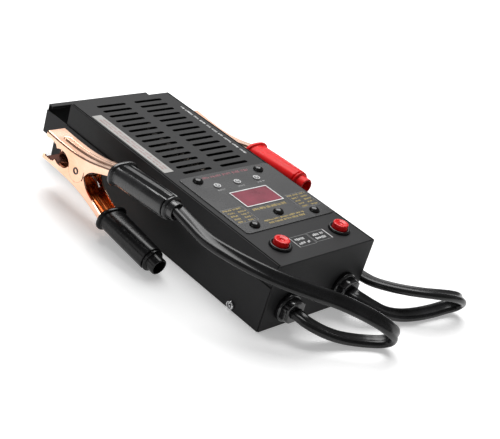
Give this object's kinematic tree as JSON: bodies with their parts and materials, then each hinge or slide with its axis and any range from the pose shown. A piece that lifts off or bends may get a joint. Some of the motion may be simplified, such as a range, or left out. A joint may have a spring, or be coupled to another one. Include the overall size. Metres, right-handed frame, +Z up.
{
  "type": "battery tester",
  "caption": "Handheld battery load tester: slotted black steel case with carry handle, digit window, push-buttons, and copper battery clamps in vinyl sleeves on short twin leads.",
  "frame": {"origin": "centre of the case's flat underside, midway across its width and midway between the front wall and the handle bar", "axes": "+X to the right, +Y from the lead end towards the carry handle, +Z up, out of the panel"},
  "size_m": [0.2216, 0.3365, 0.0672],
  "materials": {
    "black_paint": "satin black powder coat",
    "fascia_paint": "matt grey printed overlay",
    "zinc_steel": "zinc plated",
    "black_steel": "glossy black oxide",
    "white_plastic": "moulded",
    "window_tint": "tinted clear window",
    "label_film": "printed film",
    "red_plastic": "glossy moulded",
    "black_plastic": "moulded",
    "circuit_board": "glass epoxy laminate",
    "brass": "turned",
    "ceramic": "fired, unglazed",
    "resistance_wire": "heat-tinted",
    "mica": "pressed sheet",
    "copper_plate": "polished copper plating on steel",
    "black_vinyl": "dipped vinyl",
    "red_vinyl": "dipped vinyl"
  },
  "bodies": {
    "tester": {"base_shell": "black_paint", "top_cover": "black_paint", "carry_handle_bar": "black_paint", "side_screw_left_front": "zinc_steel", "side_screw_left_rear": "zinc_steel", "side_screw_right_front": "zinc_steel", "side_screw_right_rear": "zinc_steel", "fascia_plate": "fascia_paint", "window_frame": "white_plastic", "display_window": "window_tint", "warning_label": "label_film", "status_lamp_left": "white_plastic", "status_lamp_middle": "white_plastic", "status_lamp_right": "white_plastic", "panel_screw_rear_left": "black_steel", "panel_screw_rear_right": "black_steel", "panel_screw_front_left": "black_steel", "panel_screw_front_right": "black_steel", "panel_screw_middle": "black_steel", "test_button_bush": "black_steel", "test_button_nut": "zinc_steel", "test_button_spring": "zinc_steel", "test_contact_block": "black_plastic", "set_button_bush": "black_steel", "set_button_nut": "zinc_steel", "set_button_spring": "zinc_steel", "set_contact_block": "black_plastic", "circuit_board": "circuit_board", "digit_display": "black_plastic", "board_pillar_rear_left": "brass", "board_pillar_rear_right": "brass", "board_pillar_front_left": "brass", "board_pillar_front_right": "brass", "load_frame": "zinc_steel", "ceramic_rod_left": "ceramic", "load_coil_left": "resistance_wire", "ceramic_rod_right": "ceramic", "load_coil_right": "resistance_wire", "heat_shield": "mica", "load_relay": "black_plastic", "current_shunt": "brass", "lead_bush_left": "black_plastic", "lead_bush_right": "black_plastic", "black_clamp_cable_half": "copper_plate", "black_clamp_cable_sleeve": "black_vinyl", "black_clamp_spring": "zinc_steel", "black_clamp_rivet": "zinc_steel", "red_clamp_cable_half": "copper_plate", "red_clamp_cable_sleeve": "red_vinyl", "red_clamp_spring": "zinc_steel", "red_clamp_rivet": "zinc_steel", "black_lead": "black_vinyl", "red_lead": "black_vinyl"},
    "test_button": {"test_button_cap": "red_plastic"},
    "set_button": {"set_button_cap": "red_plastic"},
    "black_jaw": {"black_clamp_moving_half": "copper_plate", "black_clamp_moving_sleeve": "black_vinyl"},
    "red_jaw": {"red_clamp_moving_half": "copper_plate", "red_clamp_moving_sleeve": "red_vinyl"}
  },
  "joints": [
    {"name": "test_press", "type": "slide", "parent": "tester", "child": "test_button", "axis": [0, 0, -1], "range_m": [0, 0.0025], "stiffness_N_per_m": 300, "springref_m": -0.002, "deforming": ["test_button_spring"]},
    {"name": "set_press", "type": "slide", "parent": "tester", "child": "set_button", "axis": [0, 0, -1], "range_m": [0, 0.0025], "stiffness_N_per_m": 300, "springref_m": -0.002, "deforming": ["set_button_spring"]},
    {"name": "black_jaw_open", "type": "hinge", "parent": "tester", "child": "black_jaw", "pos_m": [-0.0793, 0.046, 0.0354], "axis": [-1, 0, 0], "range_deg": [0, 15], "stiffness_Nm_per_rad": 1, "springref_deg": -11.46},
    {"name": "red_jaw_open", "type": "hinge", "parent": "tester", "child": "red_jaw", "pos_m": [0.0672, 0.0508, 0.0302], "axis": [1, 0, 0], "range_deg": [0, 9.5], "stiffness_Nm_per_rad": 1, "springref_deg": -11.46}
  ]
}
